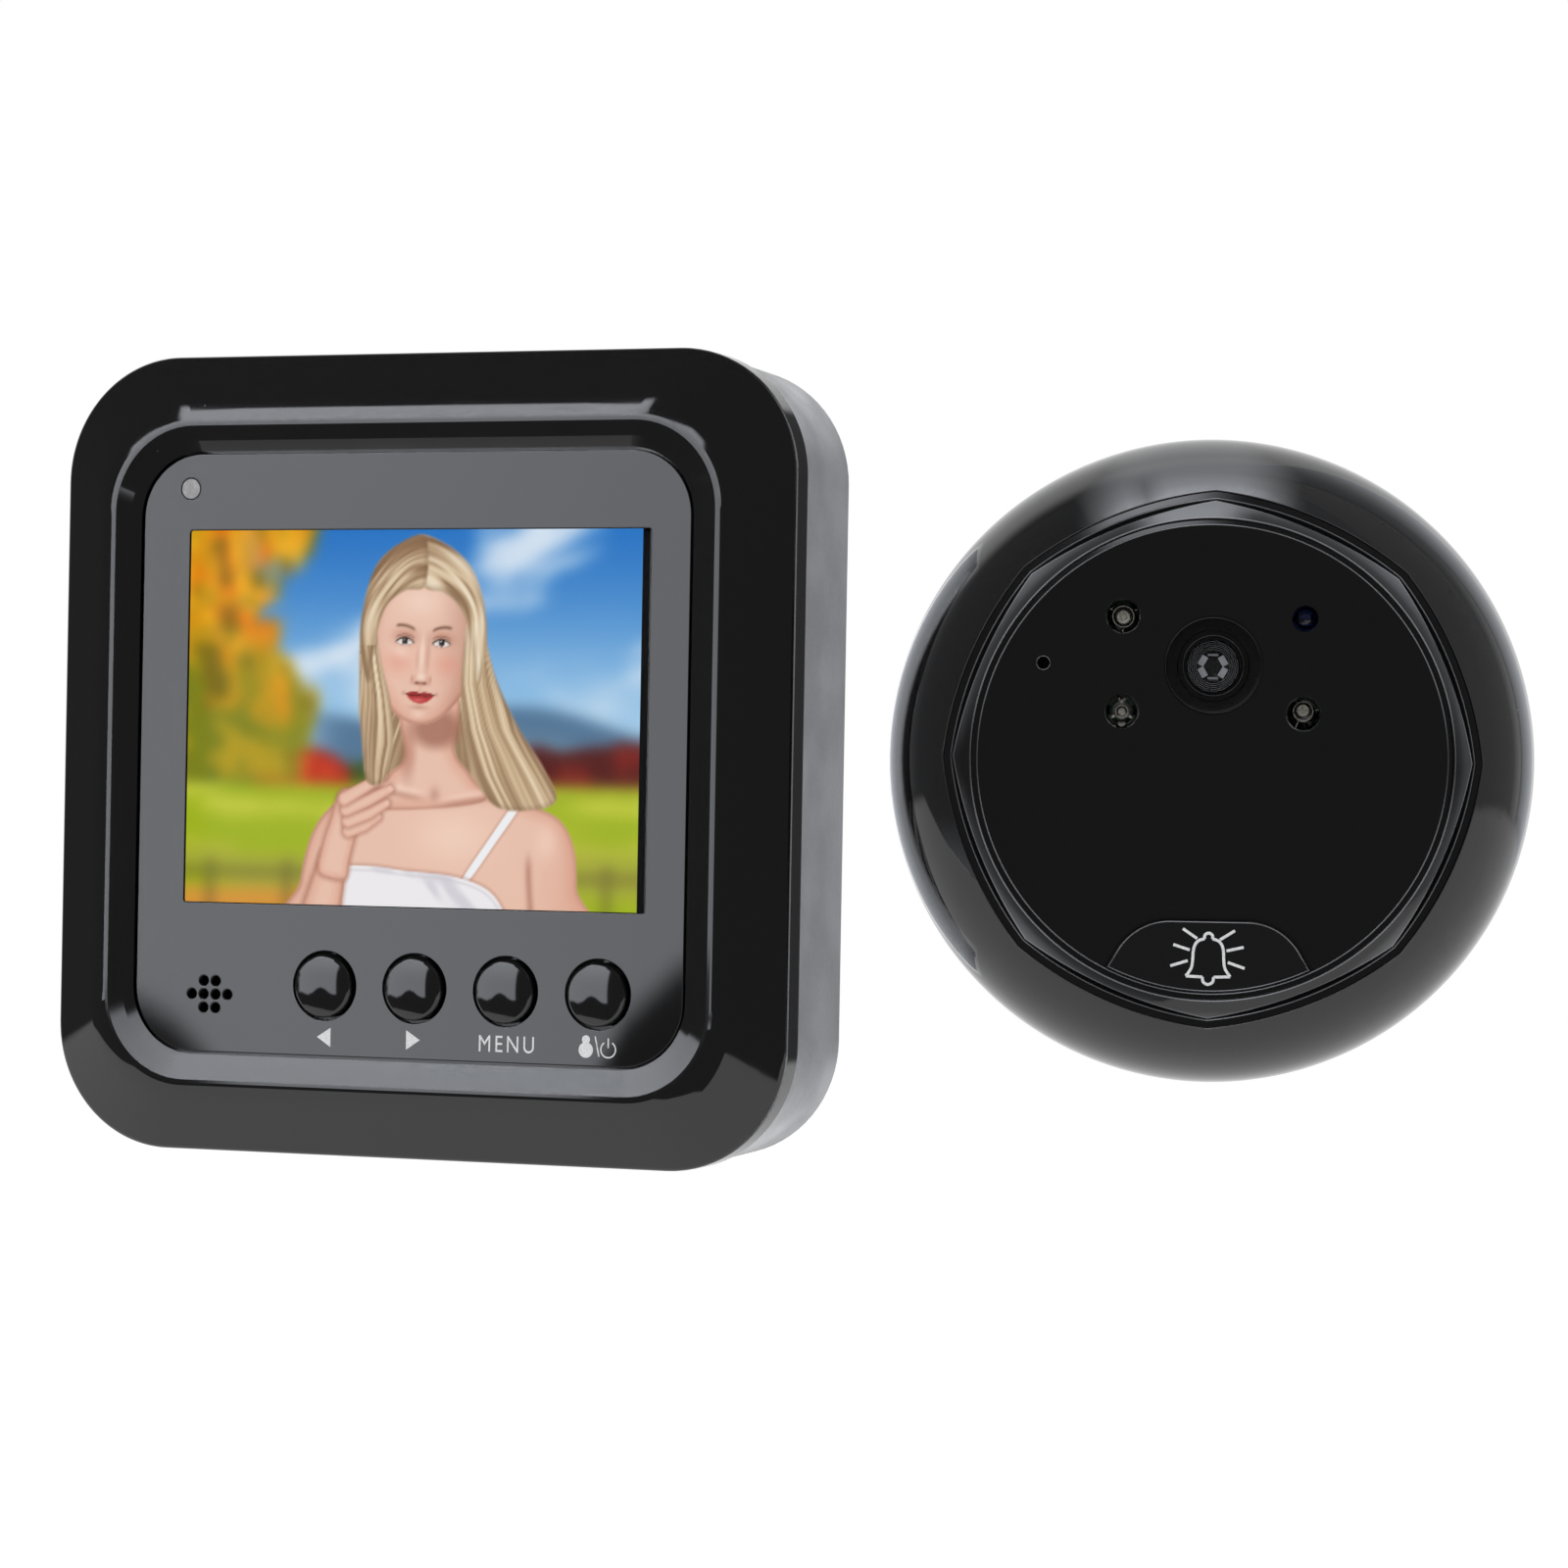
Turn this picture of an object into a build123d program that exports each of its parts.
from build123d import *
import os
from math import cos, hypot, pi, sin, sqrt, tan

# Peephole door camera: an indoor monitor that hangs on a steel wall bracket, and a round
# outdoor camera with a bell button, standing beside it. Millimetres, +Z up, faces toward -Y.
# The origin is the axis of the door hole where the bracket meets the door's inner face.

os.makedirs("parts", exist_ok=True)

# Clearances
overrun = 1.0
hair_gap = 0.05
slip_gap = 0.1
seat_gap = 0.2
recess_gap = 0.5

# Monitor: overall form
monitor_side = 80.0
monitor_corner = 12.5
door_gap = 0.4
lip_depth = 2.5
crown_width = 6.9
crown_slope = 25.4
rim_fillet = 0.6
shoulder_width = 1.64
bead_width = 0.3
bead_slope = 16.0
arc_shares = (0, 0.25, 0.5, 0.75, 1)
ridge_corner = 9.0
ridge_width = 0.3
ridge_drop = 0.9
ramp_width = 2.55
ramp_flat_width = 1.5
ramp_flat_drop = 0.46
panel_step = 0.1

# Monitor: front panel and screen
panel_corner = 6.5
panel_gap = 0.25
panel_thickness = 1.2
floor_thickness = 1.2
view_width = 51.6
view_height = 39.0
screen_x = -0.6
screen_z = 3.65
lcd_width = 60.2
lcd_height = 42.7
lcd_glass_thickness = 1.2
lcd_frame_wall = 1.0

# Monitor: front buttons, their switches, the microphone and the indicator
button_first_x = -8.71
button_pitch = 9.9
button_z = -23.0
button_names = ("left", "right", "menu", "power")
button_radius = 3.15
button_gap = 0.27
button_height = 1.1
button_dome_radius = 9.0
button_edge = 0.5
button_flange_lap = 0.78
button_flange_thickness = 0.5
button_travel = 0.35
stem_radius = 1.2
stem_length = 0.4
switch_side = 6.0
switch_height = 1.4
plunger_radius = 1.5
plunger_proud = 0.2
plunger_depth = 0.85
voice_x = -21.6
voice_z = -24.2
voice_pitch = 1.34
voice_hole_radius = 0.5
voice_well_radius = 3.1
voice_capsule_radius = 3.5
indicator_x = -24.75
indicator_z = 26.5
indicator_radius = 1.0
indicator_chip = 1.6
indicator_chip_height = 0.7

# Monitor: circuit board
board_edge_gap = 0.9
board_thickness = 1.2
board_corner = 9.0
board_screw_inset = 2.3
board_screw_zs = (8.0, -16.0)
board_boss_radius = 1.9
board_screw_radius = 0.8
board_head_radius = 1.6
board_head_height = 1.1
screw_pilot_gap = 0.05
screw_bite = 1.8
socket_width = 10.0
socket_height = 6.0
socket_depth = 3.5
socket_wall = 0.8

# Monitor: rear case
case_inset = 0.3
case_draft = 0.5
case_wall = 2.0
back_wall = 1.8
back_edge = 1.0
post_inset = 6.2
post_radius = 3.2
case_screw_radius = 0.95
case_head_radius = 1.9
case_head_height = 1.4
case_head_depth = 8.2
boss_radius = 2.7
speaker_z = 8.0
speaker_radius = 6.5
speaker_depth = 3.6
speaker_ring_wall = 0.9
speaker_cone_radius = 4.8
speaker_cone_depth = 0.8
grille_slots = 5
grille_pitch = 2.2
grille_width = 1.0
grille_length = 9.0

# Wall bracket and the recess that hangs on it
bracket_thickness = 1.2
bracket_width = 25.6
bracket_height = 24.0
bracket_corner = 2.0
ear_offset = 0.5
ear_slope = 1.5
ear_reach = 6.1
ear_length = 5.0
ear_upper_z = 9.4
ear_lower_z = -5.0
hang_travel = 6.0
recess_depth_gap = 1.0
recess_wall = 1.2
rail_thickness = 1.1
cable_hole_radius = 4.2
door_screw_pitch = 14.0
door_screw_hole_radius = 1.7
window_width = 14.0
window_height = 9.0

# Batteries and their bay
cell_count = 3
cell_radius = 5.25
cell_length = 43.5
cell_cap_radius = 1.9
cell_cap_length = 1.0
cell_side_gap = 0.5
leaf_room = 3.7
bay_wall = 1.2
bay_floor = 0.9
bay_cell_gap = 0.25
contact_thickness = 0.4
contact_height = 6.5
contact_width = 8.0
leaf_width = 6.0
leaf_height = 7.0
battery_door_travel = 2.3
battery_door_thickness = 1.2
tongue_x = 12.0
tongue_width = 6.0
tongue_thickness = 0.7
tongue_drop = 0.3
runner_width = 0.8
runner_depth = 1.0
runner_share = 0.7
grip_count = 5
grip_pitch = 1.8
grip_length = 12.0
grip_width = 0.8
grip_depth = 0.4

# Outdoor camera: where it stands beside the monitor, and how far it is turned
outdoor_x = 79.42
outdoor_back_y = -9.4
outdoor_lift = 0.57
outdoor_turn = 17.7

# Outdoor camera: ring, crown and panel
outdoor_radius = 30.1
seal_thickness = 1.0
ring_straight = 3.5
ring_back_chamfer = 0.8
dome_width = 10.0
dome_rise = 12.0
ring_wall = 2.1
cavity_neck_ledge = 1.5
cavity_neck_y = -12.2
cavity_turn_y = -6.0
octagon_sides = 8
octagon_inset = 5.4
octagon_sag = 0.54
groove_width = 0.7
groove_depth = 1.2
band_bevel = 1.2
crown_band = 2.06
band_radius = 7.6
band_inner_slope = 8.0
band_outer_slope = 27.0
crown_front_y = -15.7
outdoor_panel_gap = 0.55
outdoor_panel_thickness = 1.3
panel_sink = 0.15
tray_floor = 1.2
tray_flange_gap = 0.4
tray_flange_thickness = 1.2

# Outdoor camera: lens, night lamps, sensors
eye_z = 8.6
lamp_x = 8.3
lamp_upper_z = 13.0
lamp_lower_z = 4.28
lamp_radius = 1.5
lamp_flange_radius = 1.9
lamp_flange_thickness = 1.0
lamp_length = 5.3
lamp_sink = 0.3
lamp_leg_radius = 0.25
lamp_leg_pitch = 1.27
sensor_radius = 1.1
sensor_length = 5.6
ear_hole_x = -15.55
ear_hole_radius = 0.6
capsule_radius = 3.0
capsule_depth = 2.5
lens_ring_lap = 0.55
lens_ring_sink = 0.1
lens_mouth_gap = 0.35
lens_mouth_slope = 0.6
barrel_wall = 1.5
barrel_length = 5.6
barrel_bore_depth = 3.2
glass_radius = 2.4
glass_edge = 0.7
glass_swell = 0.7
glass_depth = 1.3
holder_wall = 1.55
holder_height = 4.4
sensor_chip_side = 6.4
sensor_chip_height = 1.0

# Outdoor camera: bell button and switch
bell_height = 6.99
bell_half_flat = 3.5
bell_shoulder_radius = 5.85
bell_shoulder_turn = 60.0
bell_gap = 0.12
bell_flange = 0.7
bell_flange_thickness = 0.8
bell_travel = 0.5
bell_switch_drop = 3.04
bell_switch_side = 6.0
bell_switch_height = 3.4
bell_plunger_radius = 1.7
bell_plunger_depth = 2.0
bell_stem_radius = 1.6
bell_edge = 0.45

# Outdoor camera: board, rear cover, fixings
camera_board_front_y = -7.5
camera_board_gap = 1.6
camera_board_thickness = 1.2
camera_post_radius = 1.9
camera_post_inset = 3.1
camera_post_turns = (90, 205, 335)
cover_thickness = 2.0
cover_screw_turns = (60, 180, 300)
cover_boss_radius = 1.9
cover_screw_radius = 0.8
cover_head_radius = 1.7
cover_head_height = 1.2
clamp_turns = (0, 120, 240)
clamp_radius = 1.3
spigot_radius = 10.0
spigot_length = 5.0
spigot_chamfer = 0.5
gland_radius = 4.0
insert_radius = 2.0
insert_length = 5.0
insert_hole_radius = 1.25
seal_inner_radius = 12.0
seal_inset = 0.8
outdoor_socket_width = 8.0
outdoor_socket_height = 4.5
outdoor_socket_depth = 2.6

# Places worked out from the sizes above; a lesser y is nearer the viewer
case_back_y = -door_gap
cell_y = case_back_y - battery_door_thickness - slip_gap - cell_radius
bay_floor_y = cell_y - cell_radius - slip_gap
board_back_y = bay_floor_y - bay_floor - slip_gap
board_front_y = board_back_y - board_thickness
switch_stack = switch_height + plunger_proud + stem_length + button_flange_thickness
floor_back_y = board_front_y - switch_stack
panel_back_y = floor_back_y - floor_thickness
panel_y = panel_back_y - panel_thickness
ridge_y = panel_y - ridge_drop
crown_turn = crown_slope * pi / 180
bead_turn = bead_slope * pi / 180
shoulder_radius = shoulder_width / (sin(crown_turn) - sin(bead_turn))
bead_radius = bead_width / sin(bead_turn)
rim_fillet_width = rim_fillet * (1 - sin(crown_turn))
bevel_reach = crown_width - rim_fillet_width - shoulder_width - bead_width
bevel_rise = bevel_reach * tan(crown_turn)
shoulder_rise = shoulder_radius * (cos(bead_turn) - cos(crown_turn))
bead_rise = bead_radius * (1 - cos(bead_turn))
crown_rise = rim_fillet * cos(crown_turn) + bevel_rise + shoulder_rise + bead_rise
rim_y = ridge_y + crown_rise
part_line_y = rim_y + lip_depth
case_inner_y = case_back_y - back_wall
ear_back_y = -bracket_thickness - ear_offset
ear_front_y = ear_back_y - bracket_thickness
recess_floor_y = ear_front_y - recess_depth_gap
rail_front_y = case_back_y - rail_thickness
battery_ledge_y = case_back_y - battery_door_thickness - hair_gap
tongue_reach = battery_door_travel - seat_gap - slip_gap
case_side = monitor_side - 2 * case_inset
case_corner = monitor_corner - case_inset
case_room = case_side / 2 - case_draft - case_wall
post_place = case_room - post_inset
board_side = 2 * (case_room - board_edge_gap)
board_screw_x = board_side / 2 - board_screw_inset
speaker_x = case_room - recess_gap - speaker_ring_wall - slip_gap - speaker_radius
panel_side = monitor_side - 2 * (crown_width + ridge_width + ramp_width + panel_gap)
button_hole_radius = button_radius + button_gap
button_flange_radius = button_hole_radius + button_flange_lap
cell_pitch = 2 * cell_radius + cell_side_gap
bay_length = cell_length + cell_cap_length + 2 * (contact_thickness + slip_gap) + leaf_room
bay_height = cell_count * cell_pitch + 2 * bay_cell_gap
bay_bottom = -case_side / 2 + case_draft + case_wall + hair_gap
bay_top = bay_bottom + bay_height
recess_top = bracket_height / 2 + hair_gap
recess_bottom = -bracket_height / 2 - hang_travel - recess_gap
recess_half_width = bracket_width / 2 + ear_reach + recess_gap
monitor_z = recess_bottom - recess_wall - bay_top - bay_wall - tongue_reach - slip_gap
outdoor_z = monitor_z + outdoor_lift
band_inner_turn = band_inner_slope * pi / 180
band_outer_turn = band_outer_slope * pi / 180
octagon_corner_radius = outdoor_radius - octagon_inset
octagon_middle_radius = octagon_corner_radius - octagon_sag
crown_inner_radius = octagon_middle_radius - crown_band
outdoor_panel_radius = crown_inner_radius - outdoor_panel_gap
cavity_neck_radius = octagon_corner_radius + cavity_neck_ledge
tray_flange_radius = cavity_neck_radius - tray_flange_gap
barrel_bore_radius = glass_radius + hair_gap
barrel_radius = barrel_bore_radius + barrel_wall
lens_ring_radius = barrel_radius + lens_ring_lap
lens_mouth_radius = glass_radius + lens_mouth_gap
holder_side = 2 * (barrel_radius + holder_wall)
bell_top_z = bell_height - outdoor_panel_radius
bell_switch_z = bell_top_z - bell_switch_drop
cover_screw_place = cavity_neck_radius - cover_boss_radius - slip_gap
camera_board_radius = cover_screw_place - cover_boss_radius - camera_board_gap
camera_post_place = camera_board_radius - camera_post_inset
clamp_place = tray_flange_radius - clamp_radius - recess_gap
cover_radius = outdoor_radius - ring_wall - seat_gap
seal_outer_radius = cover_radius - seal_inset
panel_front_y = crown_front_y + panel_sink
tray_seat_y = panel_front_y + outdoor_panel_thickness
tray_back_y = tray_seat_y + tray_floor
cover_back_y = -seal_thickness
cover_front_y = cover_back_y - cover_thickness
camera_board_back_y = camera_board_front_y + camera_board_thickness


def facing(y):
    return Plane(origin=(0, y, 0), x_dir=(1, 0, 0), z_dir=(0, -1, 0))


# A flat shape drawn as the viewer sees it, made solid between two depths
def slab(outline, back, front):
    return extrude(facing(back) * outline, amount=back - front)


def disc(x, z, radius, back, front):
    return slab(Pos(x, z) * Circle(radius), back, front)


def block(x, z, width, height, back, front):
    return slab(Pos(x, z) * Rectangle(width, height), back, front)


def rounded(side, corner):
    return RectangleRounded(side, side, corner)


# Turns (radius, y) points, closed by a straight line, about the local Y axis
def turned(points):
    return revolve(make_face(Polyline(*points, close=True)), axis=Axis.Y)


def turned_at(points, x, z):
    return Pos(x, 0, z) * turned(points)


def ring_places(place, turns):
    return [(place * cos(a * pi / 180), place * sin(a * pi / 180)) for a in turns]


def save(name, shape):
    export_step(shape, "parts/" + name + ".step")


def save_group(name, shapes):
    save(name, Compound(children=list(shapes)))


def on_monitor(shape):
    return Pos(0, 0, monitor_z) * shape


def on_outdoor(shape):
    return Pos(outdoor_x, outdoor_back_y, outdoor_z) * Rot(0, 0, outdoor_turn) * shape


def button_places():
    return [(button_first_x + i * button_pitch, button_z) for i in range(len(button_names))]


def post_places():
    return [(sx * post_place, sz * post_place) for sx in (-1, 1) for sz in (-1, 1)]


def board_screw_places():
    return [(side * board_screw_x, z) for side in (-1, 1) for z in board_screw_zs]


# Rows of two, four and two holes in a square grid
def voice_places():
    places = []
    for row, count in ((1, 2), (0, 4), (-1, 2)):
        for column in range(count):
            x = voice_x + (column - (count - 1) / 2) * voice_pitch
            places.append((x, voice_z + row * voice_pitch))
    return places


# Points of an arc that turns from one slope to another, from where it starts
def arc_profile(start, radius, from_turn, to_turn):
    inward, rise = start
    turns = [from_turn + share * (to_turn - from_turn) for share in arc_shares]
    return [(inward + radius * (sin(from_turn) - sin(t)), rise + radius * (cos(t) - cos(from_turn)))
            for t in turns]


# The rounded square that the crown has at a distance in from the rim
def crown_section(inward, rise):
    corner = monitor_corner + inward / crown_width * (ridge_corner - monitor_corner)
    return facing(rim_y - rise) * rounded(monitor_side - 2 * inward, corner)


# From the rim: a small round, a wide flat bevel, a soft shoulder and a tight bead at the ridge
def bezel_crown():
    rim = arc_profile((0, 0), rim_fillet, pi / 2, crown_turn)
    bevel = [rim[-1], (rim[-1][0] + bevel_reach, rim[-1][1] + bevel_rise)]
    shoulder = arc_profile(bevel[-1], shoulder_radius, crown_turn, bead_turn)
    bead = arc_profile(shoulder[-1], bead_radius, bead_turn, 0)
    body = loft([crown_section(*point) for point in bevel], ruled=True)
    for profile in (rim, shoulder, bead):
        body += loft([crown_section(*point) for point in profile])
    return body


# A gentle slope down from the ridge, then a steeper foot at the panel
def bezel_ramp():
    ridge_side = monitor_side - 2 * crown_width - 2 * ridge_width
    ridge_inner_corner = ridge_corner - ridge_width
    pocket_side = panel_side + 2 * panel_gap
    pocket_corner = panel_corner + panel_gap
    share = ramp_flat_width / ramp_width
    middle_corner = ridge_inner_corner + share * (pocket_corner - ridge_inner_corner)
    top = facing(ridge_y) * rounded(ridge_side, ridge_inner_corner)
    middle = facing(ridge_y + ramp_flat_drop) * rounded(ridge_side - 2 * ramp_flat_width,
                                                        middle_corner)
    foot = facing(panel_y - panel_step) * rounded(pocket_side, pocket_corner)
    lid = slab(rounded(ridge_side, ridge_inner_corner), ridge_y, ridge_y - overrun)
    return loft([middle, top], ruled=True) + loft([foot, middle], ruled=True) + lid


def front_bezel():
    body = slab(rounded(monitor_side, monitor_corner), part_line_y, rim_y) + bezel_crown()
    pocket_side = panel_side + 2 * panel_gap
    pocket = rounded(pocket_side, panel_corner + panel_gap)
    inside = rounded(monitor_side - 2 * case_wall, monitor_corner - case_wall)
    body -= bezel_ramp()
    body -= slab(pocket, panel_back_y, ridge_y)
    body -= slab(inside, part_line_y + overrun, floor_back_y)
    for x, z in post_places():
        body += disc(x, z, boss_radius, part_line_y, floor_back_y)
    for x, z in board_screw_places():
        body += disc(x, z, board_boss_radius, board_front_y, floor_back_y)
    body -= block(screen_x, screen_z, view_width, view_height, floor_back_y, panel_back_y)
    for x, z in button_places():
        body -= disc(x, z, button_hole_radius, floor_back_y, panel_back_y)
    body -= disc(voice_x, voice_z, voice_well_radius, floor_back_y, panel_back_y)
    pipe_hole = indicator_radius + hair_gap
    body -= disc(indicator_x, indicator_z, pipe_hole, floor_back_y, panel_back_y)
    pilot = case_screw_radius + screw_pilot_gap
    for x, z in post_places():
        body -= disc(x, z, pilot, part_line_y, part_line_y - screw_bite - seat_gap)
    pilot = board_screw_radius + screw_pilot_gap
    for x, z in board_screw_places():
        body -= disc(x, z, pilot, board_front_y, board_front_y - screw_bite - seat_gap)
    return body


def window_panel():
    body = slab(rounded(panel_side, panel_corner), panel_back_y, panel_y)
    holes = [disc(x, z, button_hole_radius, panel_back_y, panel_y) for x, z in button_places()]
    holes += [disc(x, z, voice_hole_radius, panel_back_y, panel_y) for x, z in voice_places()]
    pipe_hole = indicator_radius + hair_gap
    holes.append(disc(indicator_x, indicator_z, pipe_hole, panel_back_y, panel_y))
    return body - holes


def indicator_pipe():
    end = board_front_y - indicator_chip_height - hair_gap
    return disc(indicator_x, indicator_z, indicator_radius, end, panel_y)


def indicator_led():
    front = board_front_y - indicator_chip_height
    return block(indicator_x, indicator_z, indicator_chip, indicator_chip, board_front_y, front)


def lcd_glass():
    back = floor_back_y + lcd_glass_thickness
    side = 2 * lcd_frame_wall
    return block(0, screen_z, lcd_width - side, lcd_height - side, back, floor_back_y)


# The backlight's pressed frame: a floor with a low wall round the glass
def lcd_frame():
    body = block(0, screen_z, lcd_width, lcd_height, board_front_y, floor_back_y + hair_gap)
    glass_back = floor_back_y + lcd_glass_thickness
    side = 2 * lcd_frame_wall - 2 * hair_gap
    inside = block(0, screen_z, lcd_width - side, lcd_height - side, glass_back, floor_back_y)
    return body - inside


# A cap with a shallow dome, a small round at its edge, a flange behind and a stem
def button_cap(x, z):
    tip = panel_y - button_height
    stem_end = board_front_y - switch_height - plunger_proud
    flange_back = floor_back_y + button_flange_thickness
    body = disc(0, 0, button_radius, floor_back_y, tip)
    body &= Pos(0, tip + button_dome_radius, 0) * Sphere(button_dome_radius)
    rim = body.edges().filter_by(GeomType.CIRCLE).sort_by(Axis.Y)[0]
    body = fillet(rim, button_edge)
    body += disc(0, 0, button_flange_radius, flange_back, floor_back_y)
    body += disc(0, 0, stem_radius, stem_end, flange_back)
    return Pos(x, 0, z) * body


def switch_body(x, z):
    front = board_front_y - switch_height
    body = block(x, z, switch_side, switch_side, board_front_y, front)
    well_floor = front - plunger_proud + plunger_depth + plunger_proud + button_travel + hair_gap
    return body - disc(x, z, plunger_radius + slip_gap, well_floor, front)


def switch_plunger(x, z):
    front = board_front_y - switch_height - plunger_proud
    return disc(x, z, plunger_radius, front + plunger_proud + plunger_depth, front)


def monitor_microphone():
    return disc(voice_x, voice_z, voice_capsule_radius, board_front_y, floor_back_y)


def main_board():
    body = slab(rounded(board_side, board_corner), board_back_y, board_front_y)
    hole = board_screw_radius + slip_gap
    for x, z in post_places():
        body -= disc(x, z, post_radius + recess_gap, board_back_y, board_front_y)
    for x, z in board_screw_places():
        body -= disc(x, z, hole, board_back_y, board_front_y)
    return body


def screw(x, z, head_back, head_radius, head_height, shank_radius, shank_end):
    head = disc(x, z, head_radius, head_back, head_back - head_height)
    return head + disc(x, z, shank_radius, head_back - head_height, shank_end)


def board_screws():
    back = board_back_y + board_head_height
    end = board_front_y - screw_bite
    sizes = (board_head_radius, board_head_height, board_screw_radius)
    return [screw(x, z, back, *sizes, end) for x, z in board_screw_places()]


def cable_socket():
    z = -monitor_z
    back = board_back_y + socket_depth
    body = block(0, z, socket_width, socket_height, back, board_back_y)
    side = 2 * socket_wall
    mouth = (socket_width - side, socket_height - side)
    return body - block(0, z, *mouth, back, board_back_y + socket_wall)


def speaker():
    front = case_inner_y - speaker_depth
    body = disc(speaker_x, speaker_z, speaker_radius, case_inner_y, front)
    cone = case_inner_y - speaker_cone_depth
    return body - disc(speaker_x, speaker_z, speaker_cone_radius, case_inner_y, cone)


def case_shell():
    back_side = case_side - 2 * case_draft
    back_corner = case_corner - case_draft
    edge_y = case_back_y - back_edge
    front = facing(part_line_y) * rounded(case_side, case_corner)
    edge = facing(edge_y) * rounded(back_side, back_corner)
    back = facing(case_back_y) * rounded(back_side - 2 * back_edge, back_corner - back_edge)
    body = loft([edge, front], ruled=True) + loft([back, edge], ruled=True)
    inner_front = facing(part_line_y) * rounded(case_side - 2 * case_wall, case_corner - case_wall)
    inner_back = facing(case_inner_y) * rounded(back_side - 2 * case_wall, back_corner - case_wall)
    return body - loft([inner_back, inner_front], ruled=True)


def bay_middle():
    return (bay_top + bay_bottom) / 2


# Blocks inside the shell: the bracket recess, the battery bay, the posts and the speaker ring
def case_inside():
    recess_middle = (recess_top + recess_bottom) / 2 - monitor_z
    recess_height = recess_top - recess_bottom
    recess_width = 2 * recess_half_width + 2 * recess_wall
    recess_front = recess_floor_y - recess_wall
    parts = [block(0, recess_middle, recess_width, recess_height + 2 * recess_wall,
                   case_back_y - back_wall / 2, recess_front)]
    bay_front = bay_floor_y - bay_floor
    low = bay_bottom - case_wall / 2
    parts.append(block(0, (bay_top + bay_wall + low) / 2, bay_length + 2 * bay_wall,
                       bay_top + bay_wall - low, case_back_y - back_wall / 2, bay_front))
    for x, z in post_places():
        parts.append(disc(x, z, post_radius, case_back_y - back_wall / 2, part_line_y))
    ring = speaker_radius + slip_gap + speaker_ring_wall
    parts.append(disc(speaker_x, speaker_z, ring, case_inner_y, case_inner_y - speaker_depth))
    return parts


def case_cuts():
    recess_middle = (recess_top + recess_bottom) / 2 - monitor_z
    recess_height = recess_top - recess_bottom
    cuts = [block(0, recess_middle, 2 * recess_half_width, recess_height,
                  case_back_y, recess_floor_y)]
    cuts.append(block(0, -monitor_z, window_width, window_height,
                      recess_floor_y, recess_floor_y - recess_wall))
    cuts.append(block(0, bay_middle(), bay_length, bay_height, case_back_y, bay_floor_y))
    lid_width = bay_length + 2 * bay_wall + 2 * slip_gap
    lid_top = bay_top + bay_wall + slip_gap
    lid_bottom = -case_side / 2 - overrun
    cuts.append(block(0, (lid_top + lid_bottom) / 2, lid_width, lid_top - lid_bottom,
                      case_back_y, battery_ledge_y))
    slot_top = lid_top + tongue_reach
    slot_back = battery_ledge_y + slip_gap / 2
    slot_front = battery_ledge_y - tongue_thickness - slip_gap
    for side in (-1, 1):
        cuts.append(block(side * tongue_x, (slot_top + bay_top) / 2,
                          tongue_width + 2 * slip_gap, slot_top - bay_top,
                          slot_back, slot_front))
    for x, z in post_places():
        seat = case_back_y - case_head_depth
        cuts.append(disc(x, z, case_head_radius + seat_gap, case_back_y, seat))
        cuts.append(disc(x, z, case_screw_radius + slip_gap, seat, part_line_y))
    cuts.append(disc(speaker_x, speaker_z, speaker_radius + slip_gap,
                     case_inner_y, case_inner_y - speaker_depth - overrun))
    for i in range(grille_slots):
        z = speaker_z + (i - (grille_slots - 1) / 2) * grille_pitch
        length = sqrt(grille_length**2 - (2 * (z - speaker_z)) ** 2)
        slot = Pos(speaker_x, z) * SlotOverall(length, grille_width)
        cuts.append(slab(slot, case_back_y, case_inner_y))
    return cuts


def rails():
    width = recess_half_width - bracket_width / 2 - ear_slope - recess_gap
    x = recess_half_width - width / 2
    return [block(side * x, z - monitor_z, width, ear_length, case_back_y, rail_front_y)
            for side in (-1, 1) for z in (ear_upper_z, ear_lower_z)]


def rear_case():
    body = case_shell() + case_inside()
    body -= case_cuts()
    return body + rails()


def case_screws():
    head_back = case_back_y - case_head_depth + case_head_height
    end = part_line_y - screw_bite
    sizes = (case_head_radius, case_head_height, case_screw_radius)
    return [screw(x, z, head_back, *sizes, end) for x, z in post_places()]


def battery_door():
    top = bay_top + bay_wall
    bottom = -case_side / 2 + case_draft
    inner_y = case_back_y - battery_door_thickness
    width = bay_length + 2 * bay_wall
    body = block(0, (top + bottom) / 2, width, top - bottom, case_back_y, inner_y)
    lower_edge = body.edges().filter_by(Axis.X).sort_by(Axis.Z)[:2].sort_by(Axis.Y)[-1]
    body = fillet(lower_edge, back_edge * runner_share)
    tongue_front = battery_ledge_y - tongue_thickness
    tongue_top = top + tongue_reach
    root_bottom = bay_top - tongue_drop
    for side in (-1, 1):
        x = side * tongue_x
        body += block(x, (top + root_bottom) / 2, tongue_width, top - root_bottom,
                      inner_y, tongue_front)
        body += block(x, (tongue_top + root_bottom) / 2, tongue_width,
                      tongue_top - root_bottom, battery_ledge_y, tongue_front)
        runner = bay_length / 2 - slip_gap - runner_width / 2
        body += block(side * runner, bay_middle(), runner_width, bay_height * runner_share,
                      inner_y, inner_y - runner_depth)
    for i in range(grip_count):
        z = bottom + case_wall + (i + 1) * grip_pitch
        slot = Pos(0, z) * SlotOverall(grip_length, grip_width)
        body -= slab(slot, case_back_y, case_back_y - grip_depth)
    return body


def cell_zs():
    return [bay_middle() + (i - (cell_count - 1) / 2) * cell_pitch for i in range(cell_count)]


def lying_cylinder(x_from, x_to, radius, z):
    plane = Plane(origin=(x_from, cell_y, z), x_dir=(0, 1, 0), z_dir=(1, 0, 0))
    return extrude(plane * Circle(radius), amount=x_to - x_from)


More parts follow.
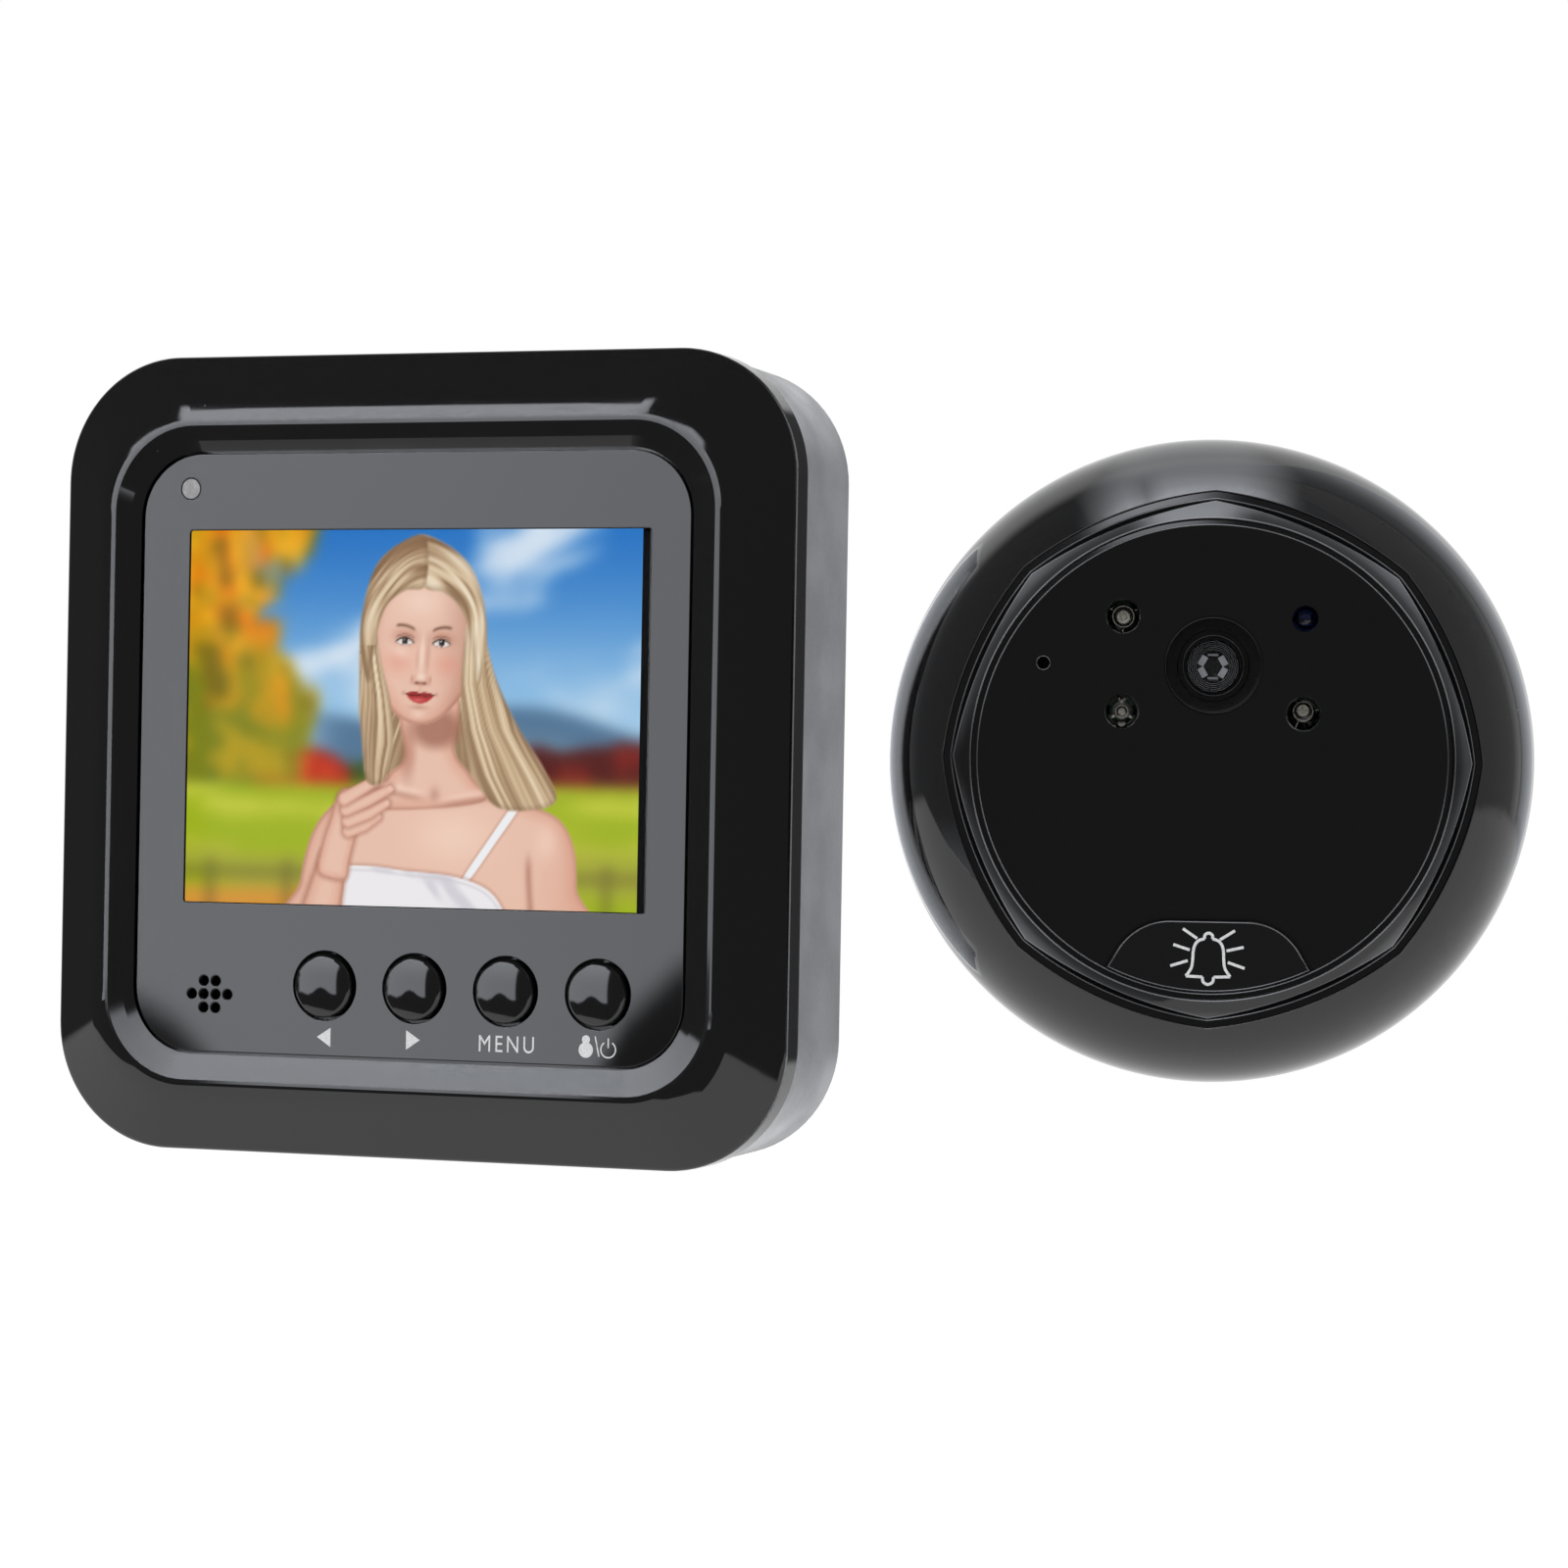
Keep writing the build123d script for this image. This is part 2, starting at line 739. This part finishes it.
# Each cell's cap end touches a flat plate, and its flat end a sprung leaf
def cell_ends(index):
    direction = 1 if index % 2 else -1
    plate = direction * (bay_length / 2 - contact_thickness - slip_gap)
    cap_base = plate - direction * cell_cap_length
    return direction, plate, cap_base, cap_base - direction * cell_length


def batteries():
    cells = []
    for index, z in enumerate(cell_zs()):
        direction, plate, cap_base, flat_end = cell_ends(index)
        body = lying_cylinder(min(cap_base, flat_end), max(cap_base, flat_end), cell_radius, z)
        body += lying_cylinder(min(cap_base, plate), max(cap_base, plate), cell_cap_radius, z)
        cells.append(body)
    return cells


def contact_plate(side, z):
    x = side * (bay_length / 2 - contact_thickness / 2 - hair_gap)
    plate = Box(contact_thickness, contact_height, contact_width)
    return Pos(x, cell_y, z) * plate


# A strip bowed out from its plate to the flat end of its cell
def contact_leaf(side, z, flat_end):
    foot = bay_length / 2 - contact_thickness - hair_gap
    crest = abs(flat_end) + hair_gap
    half = leaf_height / 2
    top = ThreePointArc((foot, cell_y - half), (crest, cell_y), (foot, cell_y + half))
    inner_half = half - contact_thickness
    low = ThreePointArc((foot, cell_y + inner_half), (crest + contact_thickness, cell_y),
                        (foot, cell_y - inner_half))
    face = make_face([top, Line(top @ 1, low @ 0), low, Line(low @ 1, top @ 0)])
    strip = Pos(0, 0, z - leaf_width / 2) * extrude(face, amount=leaf_width)
    if side < 0:
        strip = mirror(strip, about=Plane.YZ)
    return strip


def battery_contacts():
    contacts = []
    for index, z in enumerate(cell_zs()):
        direction, plate, cap_base, flat_end = cell_ends(index)
        contacts.append(contact_plate(direction, z))
        contacts.append(contact_plate(-direction, z) + contact_leaf(-direction, z, flat_end))
    return contacts


# A joggled strip: flat on the door, then a slope, then an ear that stands off the door
def bracket_ear(side, z):
    inner = bracket_width / 2
    knee = inner + ear_slope
    tip = inner + ear_reach
    root = inner - bracket_thickness
    points = [(root, 0), (inner, 0), (knee, ear_back_y), (tip, ear_back_y), (tip, ear_front_y),
              (knee - ear_offset, ear_front_y), (inner - ear_offset, -bracket_thickness),
              (root, -bracket_thickness)]
    face = make_face(Polyline(*[(side * x, y) for x, y in points], close=True))
    body = extrude(face, amount=ear_length, dir=(0, 0, 1))
    return Pos(0, 0, z - ear_length / 2) * body


def wall_bracket():
    outline = RectangleRounded(bracket_width, bracket_height, bracket_corner)
    body = slab(outline, 0, -bracket_thickness)
    for side in (-1, 1):
        for z in (ear_upper_z, ear_lower_z):
            body += bracket_ear(side, z)
    body -= disc(0, 0, cable_hole_radius, 0, -bracket_thickness)
    for side in (-1, 1):
        x = side * door_screw_pitch / 2
        body -= disc(x, 0, door_screw_hole_radius, 0, -bracket_thickness)
    return body


# An octagon whose sides bow outward; shrink moves every side inward alike
def octagon(shrink):
    corner_radius = octagon_corner_radius - shrink
    middle_radius = octagon_middle_radius - shrink
    step = 2 * pi / octagon_sides
    sides = []
    for i in range(octagon_sides):
        ends = [(corner_radius * sin(a), corner_radius * cos(a)) for a in (i * step, (i + 1) * step)]
        turn = (i + 1 / 2) * step
        middle = (middle_radius * sin(turn), middle_radius * cos(turn))
        sides.append(ThreePointArc(ends[0], middle, ends[1]))
    return make_face(sides)


def ring_outline():
    middle_radius = outdoor_radius - dome_width
    widest_y = cover_back_y - ring_straight
    dome = EllipticalCenterArc((middle_radius, widest_y), dome_width, dome_rise,
                               start_angle=270, arc_size=90)
    top = (middle_radius, widest_y - dome_rise)
    chamfer_foot = (outdoor_radius - ring_back_chamfer, cover_back_y)
    chamfer_top = (outdoor_radius, cover_back_y - ring_back_chamfer)
    rest = Polyline(top, (0, top[1]), (0, cover_back_y), chamfer_foot, chamfer_top,
                    (outdoor_radius, widest_y))
    return make_face([dome, rest])


def outer_ring():
    body = revolve(ring_outline(), axis=Axis.Y)
    inner = outdoor_radius - ring_wall
    body -= turned([(0, cover_back_y), (inner, cover_back_y), (inner, cavity_turn_y),
                    (cavity_neck_radius, cavity_neck_y), (0, cavity_neck_y)])
    body -= slab(octagon(0), cavity_neck_y, crown_front_y - dome_rise)
    for x, z in ring_places(cover_screw_place, cover_screw_turns):
        boss = disc(x, z, cover_boss_radius, cover_front_y, cavity_neck_y - overrun)
        boss -= slab(octagon(0), cavity_neck_y, cavity_neck_y - overrun)
        body += boss
        pilot = cover_screw_radius + screw_pilot_gap
        body -= disc(x, z, pilot, cover_front_y, cover_front_y - 2 * screw_bite - seat_gap)
    return body


# The crown's band falls away outward on an arc, as the dome beside it does
def crown_band_shape():
    turns = (band_inner_turn, (band_inner_turn + band_outer_turn) / 2, band_outer_turn)
    points = [(crown_inner_radius + band_radius * (sin(t) - sin(band_inner_turn)),
               crown_front_y + band_radius * (cos(band_inner_turn) - cos(t))) for t in turns]
    rest = Polyline(points[-1], (points[-1][0], cavity_neck_y), (0, cavity_neck_y),
                    (0, crown_front_y), points[0])
    return revolve(make_face([ThreePointArc(*points), rest]), axis=Axis.Y)


def crown_solid():
    groove_y = crown_front_y + groove_depth
    foot_y = crown_front_y + band_radius * (cos(band_inner_turn) - cos(band_outer_turn))
    edge = facing(foot_y) * octagon(groove_width)
    tip = facing(foot_y - band_bevel) * octagon(groove_width + band_bevel)
    body = slab(octagon(groove_width), groove_y, foot_y) + loft([edge, tip], ruled=True)
    body &= crown_band_shape()
    return body + slab(octagon(slip_gap), cavity_neck_y, groove_y)


def tray_holes(front, back):
    holes = [disc(0, eye_z, barrel_radius + slip_gap, back, front)]
    lamp_hole = lamp_radius + slip_gap
    for x, z in lamp_places():
        holes.append(disc(x, z, lamp_hole, back, front))
    holes.append(disc(lamp_x, lamp_upper_z, sensor_radius + slip_gap, back, front))
    holes.append(disc(ear_hole_x, eye_z, ear_hole_radius, back, front))
    holes.append(slab(bell_outline(bell_gap), back, front))
    return holes


def crown_tray():
    flange_back = cavity_neck_y + tray_flange_thickness
    body = crown_solid() + disc(0, 0, tray_flange_radius, flange_back, cavity_neck_y)
    body -= disc(0, 0, crown_inner_radius, tray_seat_y, crown_front_y)
    body -= disc(0, 0, crown_inner_radius, flange_back, tray_back_y)
    body -= tray_holes(tray_seat_y, tray_back_y)
    for x, z in ring_places(cover_screw_place, cover_screw_turns):
        body -= disc(x, z, cover_boss_radius + seat_gap, flange_back, cavity_neck_y)
    for x, z in ring_places(camera_post_place, camera_post_turns):
        body += disc(x, z, camera_post_radius, camera_board_front_y, tray_back_y)
        pilot = board_screw_radius + screw_pilot_gap
        end = camera_board_front_y - screw_bite - seat_gap
        body -= disc(x, z, pilot, camera_board_front_y, end)
    return body


# The bell button: flat top, round shoulders, a straight flare, and the panel's own rim below
def bell_outline(grow, rim=0):
    turn = bell_shoulder_turn * pi / 180
    radius = bell_shoulder_radius + grow
    centre_z = bell_top_z - bell_shoulder_radius
    shoulder_x = bell_half_flat + radius * sin(turn)
    shoulder_z = centre_z + radius * cos(turn)
    rim_radius = (rim or outdoor_panel_radius) + (0 if rim else grow)
    reach = hypot(shoulder_x, shoulder_z)
    slope = (cos(turn), -sin(turn))
    along = shoulder_x * slope[0] + shoulder_z * slope[1]
    run = -along + sqrt(along**2 - reach**2 + rim_radius**2)
    side = (shoulder_x + run * slope[0], shoulder_z + run * slope[1])
    top = centre_z + radius
    middle = (bell_half_flat + radius * sin(turn / 2), centre_z + radius * cos(turn / 2))
    edges = [Line((-bell_half_flat, top), (bell_half_flat, top))]
    edges.append(ThreePointArc((bell_half_flat, top), middle, (shoulder_x, shoulder_z)))
    edges.append(Line((shoulder_x, shoulder_z), side))
    edges.append(ThreePointArc(side, (0, -rim_radius), (-side[0], side[1])))
    edges.append(Line((-side[0], side[1]), (-shoulder_x, shoulder_z)))
    left_middle = (-middle[0], middle[1])
    edges.append(ThreePointArc((-shoulder_x, shoulder_z), left_middle, (-bell_half_flat, top)))
    return make_face(edges)


def lamp_places():
    return [(-lamp_x, lamp_upper_z), (-lamp_x, lamp_lower_z), (lamp_x, lamp_lower_z)]


def outdoor_panel():
    body = disc(0, 0, outdoor_panel_radius, tray_seat_y, panel_front_y)
    body -= disc(0, eye_z, lens_ring_radius + slip_gap, tray_seat_y, panel_front_y)
    for x, z in lamp_places():
        body -= disc(x, z, lamp_radius + slip_gap, tray_seat_y, panel_front_y)
    sensor_hole = sensor_radius + slip_gap
    body -= disc(lamp_x, lamp_upper_z, sensor_hole, tray_seat_y, panel_front_y)
    body -= disc(ear_hole_x, eye_z, ear_hole_radius, tray_seat_y, panel_front_y)
    past_rim = outdoor_panel_radius + overrun
    return body - slab(bell_outline(bell_gap, past_rim), tray_seat_y, panel_front_y)


def lens_ring():
    front = panel_front_y + lens_ring_sink
    points = [(barrel_radius - hair_gap, tray_seat_y), (lens_ring_radius, tray_seat_y),
              (lens_ring_radius, front), (lens_mouth_radius + lens_mouth_slope, front),
              (lens_mouth_radius, front + lens_mouth_slope),
              (lens_mouth_radius, tray_seat_y - lens_ring_sink),
              (barrel_radius - hair_gap, tray_seat_y - lens_ring_sink)]
    return turned_at(points, 0, eye_z)


def lens_barrel():
    front = tray_seat_y - lens_ring_sink
    body = disc(0, eye_z, barrel_radius - slip_gap, front + barrel_length, front)
    return body - disc(0, eye_z, barrel_bore_radius, front + barrel_bore_depth, front)


# A thick front element, flat behind and domed in front, seated in the barrel's bore
def lens_glass():
    back = tray_seat_y - lens_ring_sink + glass_depth + glass_edge
    edge = back - glass_edge
    radius = (glass_radius**2 + glass_swell**2) / (2 * glass_swell)
    body = disc(0, 0, glass_radius, back, edge)
    ball = Pos(0, edge - glass_swell + radius, 0) * Sphere(radius)
    body += ball & disc(0, 0, glass_radius, edge, edge - glass_swell - overrun)
    return Pos(0, 0, eye_z) * body


def lens_holder():
    front = camera_board_front_y - holder_height
    body = block(0, eye_z, holder_side, holder_side, camera_board_front_y, front)
    chip = sensor_chip_side + 2 * slip_gap
    room = camera_board_front_y - sensor_chip_height - slip_gap
    body -= block(0, eye_z, chip, chip, camera_board_front_y, room)
    return body - disc(0, eye_z, barrel_radius - hair_gap, room, front)


def image_sensor():
    front = camera_board_front_y - sensor_chip_height
    return block(0, eye_z, sensor_chip_side, sensor_chip_side, camera_board_front_y, front)


# A round-nosed lamp on two legs
def lamp(x, z, radius, length, front):
    nose_y = front + radius
    back = front + length
    body = disc(0, 0, radius, back, nose_y)
    body += Pos(0, nose_y, 0) * Sphere(radius)
    body += disc(0, 0, radius + lamp_flange_radius - lamp_radius, back,
                 back - lamp_flange_thickness)
    for side in (-1, 1):
        leg_x = side * lamp_leg_pitch / 2
        body += disc(leg_x, 0, lamp_leg_radius, camera_board_front_y, back)
    return Pos(x, 0, z) * body


def night_lamps():
    front = panel_front_y + lamp_sink
    return [lamp(x, z, lamp_radius, lamp_length, front) for x, z in lamp_places()]


def light_sensor():
    return lamp(lamp_x, lamp_upper_z, sensor_radius, sensor_length, panel_front_y + lamp_sink)


def outdoor_microphone():
    return disc(ear_hole_x, eye_z, capsule_radius, tray_back_y + capsule_depth, tray_back_y)


def bell_button():
    flange_back = tray_back_y + bell_flange_thickness
    stem_end = camera_board_front_y - bell_switch_height
    front = panel_front_y - bell_gap
    body = slab(bell_outline(-bell_gap), tray_back_y, front)
    front_edges = body.faces().sort_by(Axis.Y)[0].edges()
    body = chamfer(front_edges, bell_edge / 2)
    body += slab(bell_outline(bell_flange, crown_inner_radius - slip_gap), flange_back, tray_back_y)
    return body + disc(0, bell_switch_z, bell_stem_radius, stem_end - bell_travel - seat_gap,
                       flange_back)


def bell_plunger():
    tip = camera_board_front_y - bell_switch_height - bell_travel - seat_gap
    back = camera_board_front_y - bell_switch_height + bell_plunger_depth - bell_travel
    return disc(0, bell_switch_z, bell_plunger_radius, back, tip)


def bell_switch():
    front = camera_board_front_y - bell_switch_height
    side = bell_switch_side
    body = block(0, bell_switch_z, side, side, camera_board_front_y, front)
    well = front + bell_plunger_depth + slip_gap
    return body - disc(0, bell_switch_z, bell_plunger_radius + slip_gap, well, front)


def camera_board():
    body = disc(0, 0, camera_board_radius, camera_board_back_y, camera_board_front_y)
    hole = board_screw_radius + slip_gap
    for x, z in ring_places(camera_post_place, camera_post_turns):
        body -= disc(x, z, hole, camera_board_back_y, camera_board_front_y)
    return body


def camera_board_screws():
    back = camera_board_back_y + board_head_height
    end = camera_board_front_y - screw_bite
    sizes = (board_head_radius, board_head_height, board_screw_radius)
    places = ring_places(camera_post_place, camera_post_turns)
    return [screw(x, z, back, *sizes, end) for x, z in places]


def outdoor_socket():
    back = camera_board_back_y + outdoor_socket_depth
    width, height = outdoor_socket_width, outdoor_socket_height
    body = block(0, 0, width, height, back, camera_board_back_y)
    side = 2 * socket_wall
    return body - block(0, 0, width - side, height - side, back,
                        camera_board_back_y + socket_wall)


def rear_cover():
    body = disc(0, 0, cover_radius, cover_back_y, cover_front_y)
    end = cover_back_y + spigot_length
    spigot = disc(0, 0, spigot_radius, end, cover_back_y)
    rim = spigot.faces().sort_by(Axis.Y)[-1].edges()
    body += chamfer(rim, spigot_chamfer)
    flange_back = cavity_neck_y + tray_flange_thickness
    for x, z in ring_places(clamp_place, clamp_turns):
        body += disc(x, z, clamp_radius, cover_front_y, flange_back)
    body -= disc(0, 0, gland_radius, end, cover_front_y)
    for side in (-1, 1):
        x = side * door_screw_pitch / 2
        body -= disc(x, 0, insert_radius + hair_gap, end, end - insert_length)
    seat = cover_back_y - cover_head_height
    for x, z in ring_places(cover_screw_place, cover_screw_turns):
        body -= disc(x, z, cover_head_radius + slip_gap, cover_back_y, seat)
        body -= disc(x, z, cover_screw_radius + slip_gap, seat, cover_front_y)
    return body


def screw_inserts():
    end = cover_back_y + spigot_length
    inserts = []
    for side in (-1, 1):
        x = side * door_screw_pitch / 2
        body = disc(x, 0, insert_radius, end, end - insert_length)
        inserts.append(body - disc(x, 0, insert_hole_radius, end, end - insert_length))
    return inserts


def cover_screws():
    end = cover_front_y - 2 * screw_bite
    sizes = (cover_head_radius, cover_head_height, cover_screw_radius)
    places = ring_places(cover_screw_place, cover_screw_turns)
    return [screw(x, z, cover_back_y, *sizes, end) for x, z in places]


def door_seal():
    body = disc(0, 0, seal_outer_radius, 0, cover_back_y)
    return body - disc(0, 0, seal_inner_radius, 0, cover_back_y)


def build_monitor():
    save("front_bezel", on_monitor(front_bezel()))
    save("window_panel", on_monitor(window_panel()))
    save("indicator_pipe", on_monitor(indicator_pipe()))
    save("indicator_led", on_monitor(indicator_led()))
    save("lcd_glass", on_monitor(lcd_glass()))
    save("lcd_frame", on_monitor(lcd_frame()))
    save("main_board", on_monitor(main_board()))
    save("cable_socket", on_monitor(cable_socket()))
    save("monitor_microphone", on_monitor(monitor_microphone()))
    save("speaker", on_monitor(speaker()))
    save("rear_case", on_monitor(rear_case()))
    save("battery_door", on_monitor(battery_door()))
    save_group("board_screws", [on_monitor(s) for s in board_screws()])
    save_group("case_screws", [on_monitor(s) for s in case_screws()])
    save_group("batteries", [on_monitor(s) for s in batteries()])
    save_group("battery_contacts", [on_monitor(s) for s in battery_contacts()])
    places = button_places()
    save_group("button_switches", [on_monitor(switch_body(x, z)) for x, z in places])
    for name, (x, z) in zip(button_names, places):
        save(name + "_button", on_monitor(button_cap(x, z)))
        save(name + "_plunger", on_monitor(switch_plunger(x, z)))


def build_outdoor():
    save("outer_ring", on_outdoor(outer_ring()))
    save("crown_tray", on_outdoor(crown_tray()))
    save("outdoor_panel", on_outdoor(outdoor_panel()))
    save("lens_ring", on_outdoor(lens_ring()))
    save("lens_barrel", on_outdoor(lens_barrel()))
    save("lens_glass", on_outdoor(lens_glass()))
    save("lens_holder", on_outdoor(lens_holder()))
    save("image_sensor", on_outdoor(image_sensor()))
    save_group("night_lamps", [on_outdoor(s) for s in night_lamps()])
    save("light_sensor", on_outdoor(light_sensor()))
    save("outdoor_microphone", on_outdoor(outdoor_microphone()))
    save("bell_button", on_outdoor(bell_button()))
    save("bell_plunger", on_outdoor(bell_plunger()))
    save("bell_switch", on_outdoor(bell_switch()))
    save("camera_board", on_outdoor(camera_board()))
    save_group("camera_board_screws", [on_outdoor(s) for s in camera_board_screws()])
    save("outdoor_socket", on_outdoor(outdoor_socket()))
    save("rear_cover", on_outdoor(rear_cover()))
    save_group("screw_inserts", [on_outdoor(s) for s in screw_inserts()])
    save_group("cover_screws", [on_outdoor(s) for s in cover_screws()])
    save("door_seal", on_outdoor(door_seal()))


save("wall_bracket", wall_bracket())
build_monitor()
build_outdoor()
print("monitor centre height", round(monitor_z, 3), "outdoor height", round(outdoor_z, 3))
